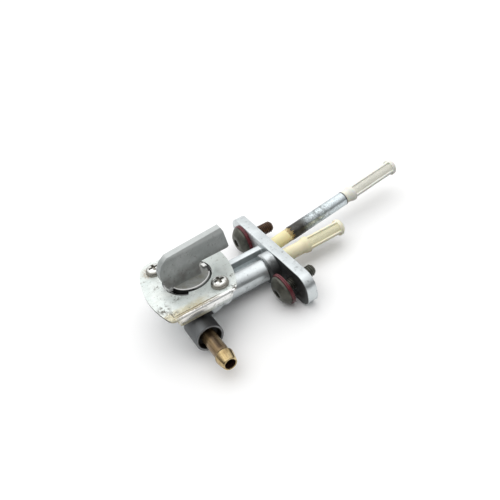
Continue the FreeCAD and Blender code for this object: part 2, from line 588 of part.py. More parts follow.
def lever():
    """Die-cast knob: rotor and hub, upright blade with a tail, and a stop lug."""
    hub, rotor = size["hub_dia"] / 2, size["rotor_dia"] / 2
    chamfer, groove_top = size["hub_chamfer"], size["groove_low"] + size["groove_tall"]
    core = new_body("lever_core")
    nodes.remove(core)
    turned(core, "RotorProfile", "z", (size["hub_x"], 0, 0), [
        (rotor_low, 0), (hub_top, 0), (hub_top, hub - chamfer), (hub_top - chamfer, hub),
        (size["rotor_top"], hub), (size["rotor_top"], rotor), (groove_top, rotor),
        (groove_top, rotor - size["groove_deep"]),
        (size["groove_low"], rotor - size["groove_deep"]), (size["groove_low"], rotor),
        (rotor_low, rotor)])
    foot = hub_top + size["blade_foot_up"]
    lug = block(core, "StopLug", (size["lug_reach"], size["lug_wide"], foot - size["lug_low"]),
                (size["hub_x"], 0, size["lug_low"]))
    turn = Rotation(Vector(0, 0, 1), value("lug_angle"))
    offset = turn.multVec(Vector(0, -value("lug_wide") / 2, 0))
    lug.Placement = Placement(Vector(value("hub_x") + offset.x, offset.y, value("lug_low")), turn)
    bind(lug, "Placement.Base.x", size["hub_x"] + offset.x)
    bind(lug, "Placement.Base.y", size["lug_wide"] * (offset.y / value("lug_wide")))

    # Crescent in the rotor's face that joins two ports
    groove = cylinder(core, "FlowGroove", size["flow_groove_out"], size["flow_groove_deep"],
                      size["hub_x"], 0, rotor_low, cut=True)
    groove.Angle = FLOW_ANGLE
    groove.Placement = Placement(groove.Placement.Base, Rotation(Vector(0, 0, 1), FLOW_START))
    cylinder(core, "FlowIsland", size["flow_groove_in"], size["flow_groove_deep"],
             size["hub_x"], 0, rotor_low)

    # Blade: a wedge, thinner at the top, cut to its side outline
    wedge = doc.addObject("Part::Wedge", "BladeWedge")
    base, top = size["blade_base_thick"] / 2, size["blade_top_thick"] / 2
    low, high = hub_top - 2, size["blade_top_right"] + 1
    left, right = -(size["blade_left"] + 5), size["blade_tail"] + 5
    for prop, amount in (("Xmin", left), ("Xmax", right), ("X2min", left), ("X2max", right),
                         ("Zmin", -base), ("Zmax", base), ("Z2min", -top), ("Z2max", top),
                         ("Ymin", as_size(0)), ("Ymax", high - low)):
        bind(wedge, prop, amount)
    wedge.Placement = Placement(Vector(value("hub_x"), value("blade_side"), low.value),
                                Rotation(Vector(1, 0, 0), 90))
    for axis, amount in zip("xyz", (size["hub_x"], size["blade_side"], low)):
        bind(wedge, f"Placement.Base.{axis}", amount)
    outline = new_body("blade_outline")
    nodes.remove(outline)
    side = new_sketch(outline, "BladeSide", "side", across=size["hub_x"])
    tail, under = size["blade_tail"], size["tail_under"]
    left_top, right_top = size["blade_top_left"], size["blade_top_right"]
    nose = -size["blade_left"]
    polygon(side, [
        (-size["blade_shoulder"], hub_top - 1), (-size["blade_shoulder"], foot),
        (-size["blade_foot"], foot), (nose, foot + size["heel_up"]),
        (nose, left_top - size["nose_low"]),
        (nose + size["nose_in"], left_top - size["nose_down"]),
        (nose + size["nose_top_in"], left_top), (tail - size["tail_top_in"], right_top),
        (tail - size["tail_in"], right_top - size["tail_down"]), (tail, under + size["toe_up"]),
        (tail - size["toe_in"], under), (size["blade_root"], under),
        (size["blade_root"], hub_top - 1)])
    slab = pad(outline, "BladeSlab", side, size["blade_base_thick"] * 3, both=True)
    finish_edges(
        outline, "TailHollow", "Fillet", slab,
        lambda e, m: near(m.x, value("hub_x") + value("blade_root")) and near(m.z, under.value),
        size["blade_round"])
    blade = doc.addObject("Part::Common", "Blade")
    blade.Base, blade.Tool = wedge, outline
    whole = doc.addObject("Part::Fuse", "LeverWhole")
    whole.Base, whole.Tool = core, blade
    whole.Label = "lever"
    nodes.append(whole)


def outlet_barb():
    """Brass hose barb, pressed into the outlet boss."""
    body = new_body("outlet_barb")
    start = size["mouth_y"] - size["recess_deep"] - size["barb_seat_deep"]
    shank, barb, tip, bore = (size[n] / 2 for n in
                              ("shank_dia", "barb_dia", "tip_dia", "barb_bore_dia"))
    land = size["shoulder_y"] + size["shoulder_long"]
    end, bevel = size["barb_tip_y"], size["tip_chamfer"]
    turned(body, "Profile", "-y", (size["outlet_x"], 0, size["outlet_up"]), [
        (start, bore), (start, shank), (size["shoulder_y"], shank), (land, barb),
        (land + size["barb_land"], barb), (end - bevel, tip), (end, tip - bevel), (end, bore)])


def flange_bolt(name, way, out):
    """M6 button-head screw; the lower one stands backed out.

    Its plain shank stands for the thread: the core as far as the mounting face, the full
    diameter beyond it.
    """
    body = new_body(f"flange_bolt_{name}")
    under = -(size["flange_thick"] + size["disc_thick"] * 2 + out)
    head, flat, shank = (size[n] / 2 for n in
                         ("bolt_head_dia", "bolt_head_flat_dia", "bolt_dia"))
    tall, bevel, core = size["bolt_head_tall"], size["bolt_chamfer"], size["bolt_core_dia"] / 2
    slope = (size["bolt_head_dia"] - size["bolt_head_flat_dia"]) / 2
    y = size["bolt_spacing"] * (way / 2)
    turned(body, "Profile", "x", (under, y, 0), [
        (-tall, 0), (-tall, flat), (tall * -0.86, flat + slope * 0.45),
        (tall * -0.6, flat + slope * 0.82), (-size["bolt_head_edge"], head), (0, head),
        (0, core), (-under, core), (-under, shank),
        (size["bolt_long"] - bevel, shank), (size["bolt_long"], shank - bevel),
        (size["bolt_long"], 0)])
    hexagon = new_sketch(body, "HexSocket", "front", across=y, out=under - tall)
    corner = size["hex_across"] / math.sqrt(3)
    flats = size["hex_across"] / 2
    polygon(hexagon, [(corner, 0), (corner / 2, flats), (-(corner / 2), flats),
                      (-corner, 0), (-(corner / 2), -flats), (corner / 2, -flats)])
    pocket(body, "HexPocket", hexagon, size["hex_deep"], backwards=True)


def bolt_washer(name, way, out, layer):
    """One of the two red washers under a bolt's head; layer 0 lies next to the flange."""
    label = "inner" if layer == 0 else "outer"
    body = new_body(f"bolt_washer_{name}_{label}")
    ring = new_sketch(body, "Ring", "front", across=size["bolt_spacing"] * (way / 2),
                      out=-(size["flange_thick"] + out + size["disc_thick"] * layer))
    circle(ring, size["disc_dia"])
    circle(ring, size["disc_hole_dia"])
    pad(body, "Disc", ring, size["disc_thick"], backwards=True)


def valve_packing():
    """Rubber disc with the ports, on the chamber's floor."""
    body = new_body("valve_packing")
    disc = new_sketch(body, "Disc", "top", across=size["hub_x"], out=size["chamber_floor"])
    circle(disc, size["chamber_bore_dia"] - size["packing_gap"])
    pad(body, "Rubber", disc, size["packing_thick"])
    for name, (x, y) in PORTS.items():
        cylinder(body, name, size["port_dia"], size["packing_thick"] + 2, x, y,
                 size["chamber_floor"] - 1, cut=True)


def lever_seal():
    """Rubber ring in the rotor's groove."""
    ring = doc.addObject("Part::Torus", "SealRing")
    ring.Label = "lever_seal"
    bind(ring, "Radius2", size["seal_dia"] / 2)
    bind(ring, "Radius1", (size["chamber_bore_dia"] - size["seal_dia"]) / 2 - size["seal_gap"])
    place(ring, size["hub_x"], 0, size["groove_low"] + size["groove_tall"] / 2)
    nodes.append(ring)


def wave_washer():
    """Spring washer between the rotor's shoulder and the plate, waved round its ring."""
    metal = value("washer_metal")
    rims = []
    for radius in (value("washer_in_dia") / 2, value("washer_out_dia") / 2):
        points = []
        for k in range(SPLINE_POINTS):
            turn = 2 * math.pi * k / SPLINE_POINTS
            rise = value("washer_wave") * math.cos(WAVES * turn)
            points.append(Vector(radius * math.cos(turn), radius * math.sin(turn), rise))
        rim = Part.BSplineCurve()
        rim.interpolate(Points=points, PeriodicFlag=True)
        rims.append(Part.Wire([rim.toShape()]))
    band = Part.makeRuledSurface(rims[0], rims[1])
    ring = doc.addObject("Part::Feature", "WaveRing")
    ring.Shape = band.extrude(Vector(0, 0, metal))
    ring.Label = "wave_washer"
    low = plate_under.value - value("washer_wave") - metal - value("washer_gap")
    ring.Placement = Placement(Vector(value("hub_x"), 0, low), Rotation())
    nodes.append(ring)


def flange_seal():
    """Rubber ring in the groove of the mounting face, round both pipes."""
    body = new_body("flange_seal")
    ring = new_sketch(body, "Ring", "front", across=gasket_y)
    racetrack(ring, gasket_half, size["gasket_mid_dia"] + size["gasket_wide"])
    racetrack(ring, gasket_half, size["gasket_mid_dia"] - size["gasket_wide"])
    pad(body, "Rubber", ring, size["gasket_deep"], backwards=True)


def stand(body, side, up, tilt):
    """Set a piece made along the X axis onto a pipe's axis."""
    body.Placement = Placement(Vector(0, side.value, up.value), tilt)
    bind(body, "Placement.Base.y", side)
    bind(body, "Placement.Base.z", up)


def standpipe(name, side, up, tilt):
    """Metal stub pressed into the flange, which a strainer pushes onto."""
    body = new_body(f"{name}_standpipe")
    outer, bore = size["pipe_dia"] / 2, size["pipe_bore_dia"] / 2
    turned(body, "Profile", "x", (0, 0, 0), [
        (-size["pipe_sunk"], bore), (-size["pipe_sunk"], outer), (size["pipe_long"] - 0.4, outer),
        (size["pipe_long"], outer - 0.4), (size["pipe_long"], bore)])
    stand(body, side, up, tilt)


def strainer(name, side, up, tilt, cage_from, end):
    """Moulded tube with a closed, windowed cage; a thin skin of mesh fills the windows."""
    body = new_body(f"{name}_strainer")
    tube, bore = size["tube_dia"] / 2, size["tube_bore_dia"] / 2
    cage, wall = size["cage_dia"] / 2, size["cage_wall"]
    cone, bevel = cage_from + size["cage_cone"], size["cage_bevel"]
    turned(body, "Profile", "x", (0, 0, 0), [
        (size["tube_off"], bore), (size["tube_off"], tube), (cage_from, tube), (cone, cage),
        (end - bevel, cage), (end, cage - bevel), (end, 0), (end - wall, 0),
        (end - wall, cage - wall), (cone + size["cone_inside"], cage - wall),
        (cage_from + size["cone_inside"], bore)])
    # Windows: a ring cut down to the skin, with four ribs set back into it
    low, high = cone + size["cage_ring"], end - size["cage_ring"] - bevel
    skin = cage - wall + size["skin_wall"]
    ring = new_sketch(body, "Window", "front", out=low)
    circle(ring, skin * 2)
    circle(ring, cage * 2 + 1)
    pocket(body, "WindowPocket", ring, high - low, backwards=True)
    tall, thick, sunk = wall - size["skin_wall"], size["rib_wide"], size["rib_sunk"]
    for name, sizes, y, z in (("RibTop", (thick, tall), thick / -2, skin - sunk),
                              ("RibLow", (thick, tall), thick / -2, sunk - skin - tall),
                              ("RibFar", (tall, thick), skin - sunk, thick / -2),
                              ("RibNear", (tall, thick), sunk - skin - tall, thick / -2)):
        block(body, name, (high - low, *sizes), (low, y, z))
    stand(body, side, up, tilt)


def strainer_sleeve(tilt):
    """Thin metal sleeve over the middle of the tall strainer."""
    body = new_body("strainer_sleeve")
    outer = size["sleeve_dia"] / 2
    bore = size["tube_dia"] / 2 + size["sleeve_gap"]
    turned(body, "Profile", "x", (0, 0, 0), [
        (size["sleeve_from"], bore), (size["sleeve_from"], outer),
        (size["sleeve_to"], outer), (size["sleeve_to"], bore)])
    stand(body, size["main_side"], size["main_up"], tilt)


FLOW_START = 20.0
FLOW_ANGLE = 130.0
UPRIGHT = Rotation()

valve_body()
face_plate()
for screw in SCREW_PLACES:
    face_screw(screw)
lever()
outlet_barb()
for bolt, way, out in (("upper", 1, as_size(0)), ("lower", -1, size["bolt_out"])):
    flange_bolt(bolt, way, out)
    for layer in range(2):
        bolt_washer(bolt, way, out, layer)
valve_packing()
lever_seal()
wave_washer()
flange_seal()
PIPES = (
    ("main", size["main_side"], size["main_up"], MAIN_TILT, size["main_cage_from"],
     size["main_end"]),
    ("reserve", size["reserve_side"], size["reserve_up"], UPRIGHT, size["reserve_cage_from"],
     size["reserve_end"]),
)
for name, side, up, tilt, cage_from, end in PIPES:
    standpipe(name, side, up, tilt)
    strainer(name, side, up, tilt, cage_from, end)
strainer_sleeve(MAIN_TILT)
doc.recompute()

failed = []
for item in doc.Objects:
    if "Invalid" in item.State or "Error" in item.State:
        failed.append(f"{item.Label} ({item.Name}): {item.State}")
for node in nodes:
    if node.Shape.isNull() or not node.Shape.isValid():
        failed.append(f"{node.Label}: no valid shape")
if failed:
    raise RuntimeError("; ".join(failed))

os.makedirs("parts", exist_ok=True)
for node in nodes:
    print(f"{node.Label}: {len(node.Shape.Solids)} solid, {node.Shape.Volume:.1f} mm3")
    node.Shape.exportStep(f"parts/{node.Label}.step")
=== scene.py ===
import math

import bmesh
import bpy
from mathutils import Matrix, Vector


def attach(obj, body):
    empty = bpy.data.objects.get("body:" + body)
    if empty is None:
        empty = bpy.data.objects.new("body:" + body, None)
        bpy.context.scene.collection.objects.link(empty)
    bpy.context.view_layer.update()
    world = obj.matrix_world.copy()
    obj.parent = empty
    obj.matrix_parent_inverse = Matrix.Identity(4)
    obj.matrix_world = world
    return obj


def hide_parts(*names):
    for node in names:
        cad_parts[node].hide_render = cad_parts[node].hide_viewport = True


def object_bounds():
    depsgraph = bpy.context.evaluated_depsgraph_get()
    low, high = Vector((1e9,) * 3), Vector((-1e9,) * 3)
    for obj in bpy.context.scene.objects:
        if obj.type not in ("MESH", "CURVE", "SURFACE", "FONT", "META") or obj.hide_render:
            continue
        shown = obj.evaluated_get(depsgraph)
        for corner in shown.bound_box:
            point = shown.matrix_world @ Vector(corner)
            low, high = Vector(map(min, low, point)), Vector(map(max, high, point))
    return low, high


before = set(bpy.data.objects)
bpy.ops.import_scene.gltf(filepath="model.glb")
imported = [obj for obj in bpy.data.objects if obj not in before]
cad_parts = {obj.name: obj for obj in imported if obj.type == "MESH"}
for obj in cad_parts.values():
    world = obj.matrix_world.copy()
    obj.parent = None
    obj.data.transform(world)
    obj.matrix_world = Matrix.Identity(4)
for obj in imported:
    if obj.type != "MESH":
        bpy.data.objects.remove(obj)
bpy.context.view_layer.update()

MM = 0.001
ACROSS = 2 * math.pi

# Places from the part's dimensions, in millimetres
HUB = Vector((-45.5, 0.0, 0.0))
PLATE_TOP = 13.9
LUG_ANGLE = 190.0
OUTLET = Vector((-52.4, 0.0, 0.9))
MAIN_PIPE = Vector((0.0, 6.5, 0.6))
MAIN_LEAN = math.radians(5.7)
RESERVE_PIPE = Vector((0.0, -4.4, 0.8))
BARB_ROOT = -13.4
BOLT_SPACING = 44.0
FLANGE_THICK = 5.5
WASHER_THICK = 0.8
LOWER_BACKED_OUT = 4.8

# M6 thread: pitch, and radii at its root and crest
PITCH, ROOT, CREST = 1.0, 2.5, 2.97

# Small fits to the photograph that the part's dimensions don't have
TAIL_ROOT_IN = 2.4
LIP_DEEPER = 0.8
LUG_EASED = 0.1
LOWER_BOLT_LIFT, LOWER_BOLT_IN = 0.25, 0.9
LOWER_BOLT_HANG, LOWER_BOLT_SWING = 6.5, 2.0


# Meshes

def mesh_object(name, bm):
    """A finished piece from a bmesh made in millimetres, smooth with sharp edges kept."""
    bmesh.ops.recalc_face_normals(bm, faces=bm.faces)
    bmesh.ops.scale(bm, vec=(MM, MM, MM), verts=bm.verts)
    mesh = bpy.data.meshes.new(name)
    bm.to_mesh(mesh)
    bm.free()
    piece = bpy.data.objects.new(name, mesh)
    bpy.context.scene.collection.objects.link(piece)
    shade(mesh)
    return piece


def shade(mesh, sharp=math.radians(38)):
    """Smooth faces, with every edge over that angle kept sharp."""
    for face in mesh.polygons:
        face.use_smooth = True
    mesh.set_sharp_from_angle(angle=sharp)


def chain(bm, points, closed=False):
    """Joined edges through the points."""
    verts = [bm.verts.new(p) for p in points]
    edges = [bm.edges.new(pair) for pair in zip(verts, verts[1:])]
    if closed:
        edges.append(bm.edges.new((verts[-1], verts[0])))
    return verts, edges


def turn(bm, profile, steps=96, closed=False):
    """A profile of (along x, radius) points, turned about the X axis."""
    verts, edges = chain(bm, [(along, radius, 0) for along, radius in profile], closed)
    bmesh.ops.spin(bm, geom=verts + edges, cent=(0, 0, 0), axis=(1, 0, 0), angle=ACROSS,
                   steps=steps, use_merge=True, use_duplicate=False)
    bmesh.ops.remove_doubles(bm, verts=bm.verts, dist=0.0005)


def rounded(profile, cuts):
    """The profile with some of its corners rounded: cuts maps a point's index to a radius."""
    result = []
    for k, point in enumerate(profile):
        if k not in cuts:
            result.append(point)
            continue
        here = Vector(point)
        before = Vector(profile[k - 1]) - here
        after = Vector(profile[(k + 1) % len(profile)]) - here
        reach = min(cuts[k], before.length * 0.49, after.length * 0.49)
        start, end = here + before.normalized() * reach, here + after.normalized() * reach
        for step in range(5):
            t = step / 4
            blend = start * (1 - t) ** 2 + here * 2 * t * (1 - t) + end * t ** 2
            result.append(tuple(blend))
    return result


def along_pipe(base, lean=0.0):
    """Places a piece made along +X on a pipe's axis, leaning towards +Y and +Z."""
    return Matrix.Translation(base) @ Matrix.Rotation(lean, 4, Vector((0, -1, 1)))


def set_down(bm, place):
    """Moves a piece made at the origin to its place."""
    bmesh.ops.transform(bm, matrix=place, verts=bm.verts)


def fitted_lever(bm):
    """Brings the tail's root closer to the hub's middle and eases the stop lug's sides."""
    hub_rim, hub_top, root_top = 9.7, 14.7, 21.2
    blade_middle, half_blade = -0.65, 2.9
    lug = Vector((math.cos(math.radians(LUG_ANGLE)), math.sin(math.radians(LUG_ANGLE))))
    for vert in bm.verts:
        out, along = vert.co.x - HUB.x, vert.co.y
        if vert.co.z < hub_top + 0.3 and math.hypot(out, along) > hub_rim + 0.5:
            across = along * lug.x - out * lug.y
            vert.co.x += LUG_EASED * across * lug.y
            vert.co.y -= LUG_EASED * across * lug.x
            continue
        on_rim = vert.co.z < hub_top + 0.2 and math.hypot(out, along) > hub_rim
        in_root = 7.0 < out < 10.2 and hub_top - 0.1 < vert.co.z < root_top
        if in_root and not on_rim and abs(along - blade_middle) < half_blade:
            vert.co.x -= TAIL_ROOT_IN


def near_lip_deeper(bm):
    """Lets the face plate's near lip reach a little lower, as photographed."""
    lip_y, lip_low = -20.0, 10.6
    for vert in bm.verts:
        if vert.co.y < lip_y and vert.co.z < lip_low:
            vert.co.z -= LIP_DEEPER


def softened(node, width, segments=2, angle=28.0, reshape=None):
    """A copy of a CAD node with its edges rounded."""
    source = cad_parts[node]
    bm = bmesh.new()
    bm.from_mesh(source.data)
    bmesh.ops.scale(bm, vec=(1 / MM, 1 / MM, 1 / MM), verts=bm.verts)
    bmesh.ops.remove_doubles(bm, verts=bm.verts, dist=0.002)
    bmesh.ops.dissolve_limit(bm, angle_limit=math.radians(1.0), verts=bm.verts, edges=bm.edges)
    if reshape:
        reshape(bm)
    sharp = [e for e in bm.edges if len(e.link_faces) == 2
             and e.calc_face_angle(0) > math.radians(angle)]
    bmesh.ops.bevel(bm, geom=sharp, offset=width, offset_type="OFFSET", segments=segments,
                    affect="EDGES", profile=0.5, material=-1, clamp_overlap=True)
    return mesh_object(f"{node}_shown", bm)


def take_over(piece, node, body, material):
    """The piece stands for a CAD node, moves with its body and gets its finish."""
    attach(piece, body)
    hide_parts(node)
    piece.data.materials.clear()
    piece.data.materials.append(material)
    return piece


# Materials

class Nodes:
    """Short words for building one material's node tree."""

    def __init__(self, name):
        self.material = bpy.data.materials.new(name)
        self.material.use_nodes = True
        self.tree = self.material.node_tree
        self.shader = self.tree.nodes["Principled BSDF"]
        coords = self.tree.nodes.new("ShaderNodeTexCoord")
        self.place = coords.outputs["Object"]

    def add(self, kind, inputs=(), **settings):
        node = self.tree.nodes.new(kind)
        for key, setting in settings.items():
            setattr(node, key, setting)
        for socket, source in dict(inputs).items():
            self.feed(node.inputs[socket], source)
        return node

    def feed(self, socket, source):
        if isinstance(source, bpy.types.NodeSocket):
            self.tree.links.new(source, socket)
        else:
            socket.default_value = source

    def set(self, **values):
        names = {"metal": "Metallic", "rough": "Roughness", "colour": "Base Color",
                 "normal": "Normal", "specular": "Specular IOR Level",
                 "subsurface": "Subsurface Weight", "subsurface_scale": "Subsurface Scale"}
        for key, source in values.items():
            self.feed(self.shader.inputs[names[key]], source)

    def noise(self, per_mm, detail=4.0, rough=0.55, stretch=None):
        """Noise with that many lumps per millimetre; stretch scales each axis."""
        where = self.place
        if stretch:
            where = self.add("ShaderNodeMapping", {"Vector": where, "Scale": stretch}).outputs[0]
        node = self.add("ShaderNodeTexNoise", {
            "Vector": where, "Scale": per_mm / MM, "Detail": detail, "Roughness": rough})
        return node.outputs["Fac"]

    def ramp(self, factor, *stops):
        """Maps a factor through (position, value or colour) stops."""
        node = self.add("ShaderNodeValToRGB", {"Fac": factor})
        ramp = node.color_ramp
        while len(ramp.elements) < len(stops):
            ramp.elements.new(0.5)
        for element, (position, tone) in zip(ramp.elements, stops):
            element.position = position
            element.color = (tone, tone, tone, 1) if isinstance(tone, float) else (*tone, 1)
        return node.outputs["Color"]

    def math(self, operation, first, second=0.0, third=0.0):
        node = self.add("ShaderNodeMath", operation=operation)
        for socket, source in zip(node.inputs, (first, second, third)):
            self.feed(socket, source)
        return node.outputs[0]

    def mix(self, factor, first, second):
        node = self.add("ShaderNodeMix", data_type="RGBA")
        for socket, source in ((node.inputs[0], factor), (node.inputs[6], first),
                               (node.inputs[7], second)):
            if isinstance(source, tuple) and len(source) == 3:
                source = (*source, 1)
            self.feed(socket, source)
        return node.outputs[2]

    def axis(self, name):
        """One coordinate of the object's own space, in millimetres."""
        parts = self.add("ShaderNodeSeparateXYZ", {"Vector": self.place})
        return self.math("MULTIPLY", parts.outputs[name.upper()], 1 / MM)

    def band(self, source, low, high, soft=0.3):
        """One between two values of a source, with soft ends."""
        rise = self.add("ShaderNodeMapRange", {"Value": source, "From Min": low - soft,
                                               "From Max": low + soft},
                        interpolation_type="SMOOTHSTEP").outputs[0]
        fall = self.add("ShaderNodeMapRange", {"Value": source, "From Min": high - soft,
                                               "From Max": high + soft, "To Min": 1.0,
                                               "To Max": 0.0},
                        interpolation_type="SMOOTHSTEP").outputs[0]
        return self.math("MULTIPLY", rise, fall)

    def spot(self, centre, radius, soft=0.5):
        """One round a point, in millimetres, falling to nothing at the radius."""
        away = self.add("ShaderNodeVectorMath", operation="DISTANCE")
        self.feed(away.inputs[0], self.place)
        self.feed(away.inputs[1], tuple(c * MM for c in centre))
        reach = self.math("MULTIPLY", away.outputs["Value"], 1 / MM)
        return self.add("ShaderNodeMapRange", {
            "Value": reach, "From Min": radius * (1 - soft), "From Max": radius,
            "To Min": 1.0, "To Max": 0.0}, interpolation_type="SMOOTHSTEP").outputs[0]

    def away(self, first, second, centre):
        """The distance from a centre in the plane of two coordinates, in millimetres."""
        one = self.math("SUBTRACT", first, centre[0])
        two = self.math("SUBTRACT", second, centre[1])
        return self.math("SQRT", self.math("MULTIPLY_ADD", one, one,
                                           self.math("MULTIPLY", two, two)))

    def bump(self, height, strength=0.3, distance=0.05, normal=None):
        inputs = {"Height": height, "Strength": strength, "Distance": distance * MM}
        if normal:
            inputs["Normal"] = normal
        return self.add("ShaderNodeBump", inputs).outputs[0]


def cast_metal():
    """As-cast alloy, mottled and grimy, oily dark grey on the outlet boss, with painted shade on
    the boss's top, the duct's side, the neck's underside, the hub's well and the flange's front
    face, which is partly dirt.
    """
    n = Nodes("cast_metal")
    x, y, z = n.axis("x"), n.axis("y"), n.axis("z")
    cloud = n.noise(0.12, 5.0, 0.6)
    fine = n.noise(1.6, 4.0, 0.6)
    blotch = n.noise(0.45, 6.0, 0.7)
    tone = n.ramp(cloud, (0.3, (0.54, 0.58, 0.59)), (0.55, (0.66, 0.70, 0.71)),
                  (0.75, (0.74, 0.78, 0.79)))
    grime = n.math("MULTIPLY", n.ramp(blotch, (0.56, 0.0), (0.7, 1.0)), 0.45)
    ragged = n.math("MULTIPLY", n.math("SUBTRACT", blotch, 0.5), 5.0)
    # Painted shade, partly dirt, over the flange's front face towards its lower end
    face = n.math("MULTIPLY", n.band(x, -11.0, -5.2, 0.15),
                  n.band(n.math("ADD", y, ragged), -40.0, -8.0, 2.5))
    # Painted shade on the duct's side and along the neck's underside
    duct_side = n.math("MULTIPLY", n.band(y, 3.3, 4.25, 0.12), n.band(z, 1.5, 8.3, 0.3))
    duct_side = n.math("MULTIPLY", duct_side, n.band(x, -45.0, -6.2, 0.3))
    neck_low = n.math("MULTIPLY", n.band(z, -9.0, -2.4, 1.2), n.band(x, -40.0, -11.0, 1.0))
    dim = n.math("MAXIMUM", n.math("MULTIPLY", neck_low, 0.55), n.math("MULTIPLY", duct_side, 0.5))
    from_hub = n.away(x, y, HUB)
    # Painted shade in the well round the lever's hub
    shaded_well = n.math("MULTIPLY", n.band(from_hub, -1.0, 13.4, 0.2), n.band(z, 6.0, 13.0, 0.2))
    dark = n.math("MAXIMUM", n.math("MAXIMUM", n.math("MULTIPLY", face, 0.9), shaded_well), dim)
    nick = n.math("MULTIPLY", n.spot((-11.3, -6.3, 6.6), 1.5, 0.4),
                  n.ramp(n.noise(1.1, 3.0), (0.45, 0.0), (0.52, 1.0)))
    dark = n.math("MAXIMUM", n.math("MAXIMUM", dark, grime), nick)
    # The painted shade, the grime and the collar's nick darken the tone together
    tone = n.mix(dark, tone, (0.03, 0.03, 0.028))
    # The outlet boss: smooth dark grey, with painted shade blackest on top under the plate, a
    # lighter rim and painted shade in its mouth
    from_outlet = n.away(x, z, OUTLET.xz)
    boss = n.math("MULTIPLY", n.band(n.math("ADD", y, n.math("MULTIPLY", ragged, 0.4)), -40.0,
                                     -15.5, 0.8), n.band(from_outlet, -1.0, 8.2, 0.5))
    # Painted shade: darker towards the top of the boss, under the plate
    boss_tone = n.mix(n.band(x, -53.2, 0.0, 2.2), (0.15, 0.158, 0.163), (0.02, 0.02, 0.02))
    rim = n.math("MULTIPLY", n.band(y, -40.0, -27.75, 0.06), n.band(from_outlet, 5.75, 6.5, 0.1))
    boss_tone = n.mix(n.math("MULTIPLY", rim, n.ramp(cloud, (0.4, 0.5), (0.6, 1.0))), boss_tone,
                      (0.34, 0.35, 0.36))
    # Painted shade in the mouth round the barb
    mouth = n.math("MULTIPLY", n.band(from_outlet, -1.0, 5.62, 0.06), n.band(y, -28.5, -10.0, 0.1))
    boss_tone = n.mix(mouth, boss_tone, (0.012, 0.011, 0.01))
    tone = n.mix(boss, tone, boss_tone)
    # The painted shade, the grime and the boss all get the rougher, oily finish
    oil_and_shade = n.math("MAXIMUM", dark, boss)
    rough = n.mix(oil_and_shade, n.ramp(cloud, (0.3, 0.30), (0.7, 0.40)), (0.5, 0.5, 0.5))
    n.set(colour=tone, metal=n.ramp(boss, (0.0, 0.85), (1.0, 0.4)), rough=rough,
          normal=n.bump(fine, 0.25, 0.04))
    return n.material


